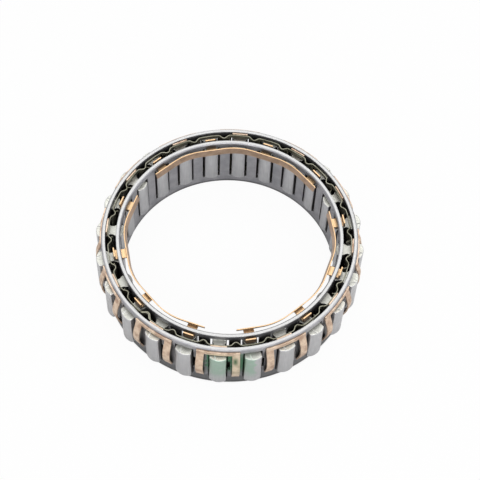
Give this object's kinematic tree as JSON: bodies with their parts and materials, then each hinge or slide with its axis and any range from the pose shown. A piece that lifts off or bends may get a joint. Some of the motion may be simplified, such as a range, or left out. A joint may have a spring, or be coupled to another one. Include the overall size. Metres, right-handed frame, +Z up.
{
  "type": "sprag clutch",
  "caption": "Full-phasing sprag clutch: a ring of waisted sprags between an outer and an inner cage, with a ribbon spring, bronze drag clips outside and bronze drag strips inside.",
  "frame": {"origin": "on the ring axis, at the foot of the two cages", "axes": "+Z up along the ring axis; +X and +Y across the ring, with the picture taken from the -Y side"},
  "size_m": [0.0802, 0.0802, 0.021],
  "materials": {
    "cage_steel": "tumbled bare steel with bright rims",
    "spring_steel": "thin tempered spring strip",
    "sprag_steel": "satin ground bearing steel",
    "clip_bronze": "matt pale phosphor bronze",
    "strip_bronze": "bright phosphor bronze strip"
  },
  "bodies": {
    "outer_cage_assembly": {"outer_cage": "cage_steel", "ribbon_spring": "spring_steel", "outer_drag_clip_01": "clip_bronze", "outer_drag_clip_02": "clip_bronze", "outer_drag_clip_03": "clip_bronze", "outer_drag_clip_04": "clip_bronze", "outer_drag_clip_05": "clip_bronze", "outer_drag_clip_06": "clip_bronze", "outer_drag_clip_07": "clip_bronze", "outer_drag_clip_08": "clip_bronze", "outer_drag_clip_09": "clip_bronze", "outer_drag_clip_10": "clip_bronze", "outer_drag_clip_11": "clip_bronze", "outer_drag_clip_12": "clip_bronze"},
    "inner_cage_assembly": {"inner_cage": "cage_steel", "inner_drag_strip_1": "strip_bronze", "inner_drag_strip_2": "strip_bronze", "inner_drag_strip_3": "strip_bronze"},
    "sprag_01": {"sprag_01": "sprag_steel"},
    "sprag_02": {"sprag_02": "sprag_steel"},
    "sprag_03": {"sprag_03": "sprag_steel"},
    "sprag_04": {"sprag_04": "sprag_steel"},
    "sprag_05": {"sprag_05": "sprag_steel"},
    "sprag_06": {"sprag_06": "sprag_steel"},
    "sprag_07": {"sprag_07": "sprag_steel"},
    "sprag_08": {"sprag_08": "sprag_steel"},
    "sprag_09": {"sprag_09": "sprag_steel"},
    "sprag_10": {"sprag_10": "sprag_steel"},
    "sprag_11": {"sprag_11": "sprag_steel"},
    "sprag_12": {"sprag_12": "sprag_steel"},
    "sprag_13": {"sprag_13": "sprag_steel"},
    "sprag_14": {"sprag_14": "sprag_steel"},
    "sprag_15": {"sprag_15": "sprag_steel"},
    "sprag_16": {"sprag_16": "sprag_steel"},
    "sprag_17": {"sprag_17": "sprag_steel"},
    "sprag_18": {"sprag_18": "sprag_steel"},
    "sprag_19": {"sprag_19": "sprag_steel"},
    "sprag_20": {"sprag_20": "sprag_steel"},
    "sprag_21": {"sprag_21": "sprag_steel"},
    "sprag_22": {"sprag_22": "sprag_steel"},
    "sprag_23": {"sprag_23": "sprag_steel"},
    "sprag_24": {"sprag_24": "sprag_steel"}
  },
  "joints": [
    {"name": "inner_cage_turn", "type": "hinge", "parent": "outer_cage_assembly", "child": "inner_cage_assembly", "pos_m": [0, 0, 0.0105], "axis": [0, 0, 1], "range_deg": [-0.8, 0.8], "stiffness_Nm_per_rad": 0.05},
    {"name": "sprag_01_tilt", "type": "hinge", "parent": "outer_cage_assembly", "child": "sprag_01", "pos_m": [0.03669, 0.0082, 0.0107], "axis": [0, 0, 1], "range_deg": [-6.1, 6.1]},
    {"name": "sprag_02_tilt", "type": "hinge", "parent": "outer_cage_assembly", "child": "sprag_02", "pos_m": [0.03332, 0.01742, 0.0107], "axis": [0, 0, 1], "range_deg": [-6.1, 6.1]},
    {"name": "sprag_03_tilt", "type": "hinge", "parent": "outer_cage_assembly", "child": "sprag_03", "pos_m": [0.02768, 0.02545, 0.0107], "axis": [0, 0, 1], "range_deg": [-6.1, 6.1]},
    {"name": "sprag_04_tilt", "type": "hinge", "parent": "outer_cage_assembly", "child": "sprag_04", "pos_m": [0.02015, 0.03175, 0.0107], "axis": [0, 0, 1], "range_deg": [-6.1, 6.1]},
    {"name": "sprag_05_tilt", "type": "hinge", "parent": "outer_cage_assembly", "child": "sprag_05", "pos_m": [0.01124, 0.03588, 0.0107], "axis": [0, 0, 1], "range_deg": [-6.1, 6.1]},
    {"name": "sprag_06_tilt", "type": "hinge", "parent": "outer_cage_assembly", "child": "sprag_06", "pos_m": [0.00157, 0.03757, 0.0107], "axis": [0, 0, 1], "range_deg": [-6.1, 6.1]},
    {"name": "sprag_07_tilt", "type": "hinge", "parent": "outer_cage_assembly", "child": "sprag_07", "pos_m": [-0.0082, 0.03669, 0.0107], "axis": [0, 0, 1], "range_deg": [-6.1, 6.1]},
    {"name": "sprag_08_tilt", "type": "hinge", "parent": "outer_cage_assembly", "child": "sprag_08", "pos_m": [-0.01742, 0.03332, 0.0107], "axis": [0, 0, 1], "range_deg": [-6.1, 6.1]},
    {"name": "sprag_09_tilt", "type": "hinge", "parent": "outer_cage_assembly", "child": "sprag_09", "pos_m": [-0.02545, 0.02768, 0.0107], "axis": [0, 0, 1], "range_deg": [-6.1, 6.1]},
    {"name": "sprag_10_tilt", "type": "hinge", "parent": "outer_cage_assembly", "child": "sprag_10", "pos_m": [-0.03175, 0.02015, 0.0107], "axis": [0, 0, 1], "range_deg": [-6.1, 6.1]},
    {"name": "sprag_11_tilt", "type": "hinge", "parent": "outer_cage_assembly", "child": "sprag_11", "pos_m": [-0.03588, 0.01124, 0.0107], "axis": [0, 0, 1], "range_deg": [-6.1, 6.1]},
    {"name": "sprag_12_tilt", "type": "hinge", "parent": "outer_cage_assembly", "child": "sprag_12", "pos_m": [-0.03757, 0.00157, 0.0107], "axis": [0, 0, 1], "range_deg": [-6.1, 6.1]},
    {"name": "sprag_13_tilt", "type": "hinge", "parent": "outer_cage_assembly", "child": "sprag_13", "pos_m": [-0.03669, -0.0082, 0.0107], "axis": [0, 0, 1], "range_deg": [-6.1, 6.1]},
    {"name": "sprag_14_tilt", "type": "hinge", "parent": "outer_cage_assembly", "child": "sprag_14", "pos_m": [-0.03332, -0.01742, 0.0107], "axis": [0, 0, 1], "range_deg": [-6.1, 6.1]},
    {"name": "sprag_15_tilt", "type": "hinge", "parent": "outer_cage_assembly", "child": "sprag_15", "pos_m": [-0.02768, -0.02545, 0.0107], "axis": [0, 0, 1], "range_deg": [-6.1, 6.1]},
    {"name": "sprag_16_tilt", "type": "hinge", "parent": "outer_cage_assembly", "child": "sprag_16", "pos_m": [-0.02015, -0.03175, 0.0107], "axis": [0, 0, 1], "range_deg": [-6.1, 6.1]},
    {"name": "sprag_17_tilt", "type": "hinge", "parent": "outer_cage_assembly", "child": "sprag_17", "pos_m": [-0.01124, -0.03588, 0.0107], "axis": [0, 0, 1], "range_deg": [-6.1, 6.1]},
    {"name": "sprag_18_tilt", "type": "hinge", "parent": "outer_cage_assembly", "child": "sprag_18", "pos_m": [-0.00157, -0.03757, 0.0107], "axis": [0, 0, 1], "range_deg": [-6.1, 6.1]},
    {"name": "sprag_19_tilt", "type": "hinge", "parent": "outer_cage_assembly", "child": "sprag_19", "pos_m": [0.0082, -0.03669, 0.0107], "axis": [0, 0, 1], "range_deg": [-6.1, 6.1]},
    {"name": "sprag_20_tilt", "type": "hinge", "parent": "outer_cage_assembly", "child": "sprag_20", "pos_m": [0.01742, -0.03332, 0.0107], "axis": [0, 0, 1], "range_deg": [-6.1, 6.1]},
    {"name": "sprag_21_tilt", "type": "hinge", "parent": "outer_cage_assembly", "child": "sprag_21", "pos_m": [0.02545, -0.02768, 0.0107], "axis": [0, 0, 1], "range_deg": [-6.1, 6.1]},
    {"name": "sprag_22_tilt", "type": "hinge", "parent": "outer_cage_assembly", "child": "sprag_22", "pos_m": [0.03175, -0.02015, 0.0107], "axis": [0, 0, 1], "range_deg": [-6.1, 6.1]},
    {"name": "sprag_23_tilt", "type": "hinge", "parent": "outer_cage_assembly", "child": "sprag_23", "pos_m": [0.03588, -0.01124, 0.0107], "axis": [0, 0, 1], "range_deg": [-6.1, 6.1]},
    {"name": "sprag_24_tilt", "type": "hinge", "parent": "outer_cage_assembly", "child": "sprag_24", "pos_m": [0.03757, -0.00157, 0.0107], "axis": [0, 0, 1], "range_deg": [-6.1, 6.1]}
  ],
  "couplings": [
    {"joint": "sprag_01_tilt", "follows": "inner_cage_turn", "ratio": -7.5455},
    {"joint": "sprag_02_tilt", "follows": "inner_cage_turn", "ratio": -7.5455},
    {"joint": "sprag_03_tilt", "follows": "inner_cage_turn", "ratio": -7.5455},
    {"joint": "sprag_04_tilt", "follows": "inner_cage_turn", "ratio": -7.5455},
    {"joint": "sprag_05_tilt", "follows": "inner_cage_turn", "ratio": -7.5455},
    {"joint": "sprag_06_tilt", "follows": "inner_cage_turn", "ratio": -7.5455},
    {"joint": "sprag_07_tilt", "follows": "inner_cage_turn", "ratio": -7.5455},
    {"joint": "sprag_08_tilt", "follows": "inner_cage_turn", "ratio": -7.5455},
    {"joint": "sprag_09_tilt", "follows": "inner_cage_turn", "ratio": -7.5455},
    {"joint": "sprag_10_tilt", "follows": "inner_cage_turn", "ratio": -7.5455},
    {"joint": "sprag_11_tilt", "follows": "inner_cage_turn", "ratio": -7.5455},
    {"joint": "sprag_12_tilt", "follows": "inner_cage_turn", "ratio": -7.5455},
    {"joint": "sprag_13_tilt", "follows": "inner_cage_turn", "ratio": -7.5455},
    {"joint": "sprag_14_tilt", "follows": "inner_cage_turn", "ratio": -7.5455},
    {"joint": "sprag_15_tilt", "follows": "inner_cage_turn", "ratio": -7.5455},
    {"joint": "sprag_16_tilt", "follows": "inner_cage_turn", "ratio": -7.5455},
    {"joint": "sprag_17_tilt", "follows": "inner_cage_turn", "ratio": -7.5455},
    {"joint": "sprag_18_tilt", "follows": "inner_cage_turn", "ratio": -7.5455},
    {"joint": "sprag_19_tilt", "follows": "inner_cage_turn", "ratio": -7.5455},
    {"joint": "sprag_20_tilt", "follows": "inner_cage_turn", "ratio": -7.5455},
    {"joint": "sprag_21_tilt", "follows": "inner_cage_turn", "ratio": -7.5455},
    {"joint": "sprag_22_tilt", "follows": "inner_cage_turn", "ratio": -7.5455},
    {"joint": "sprag_23_tilt", "follows": "inner_cage_turn", "ratio": -7.5455},
    {"joint": "sprag_24_tilt", "follows": "inner_cage_turn", "ratio": -7.5455}
  ]
}
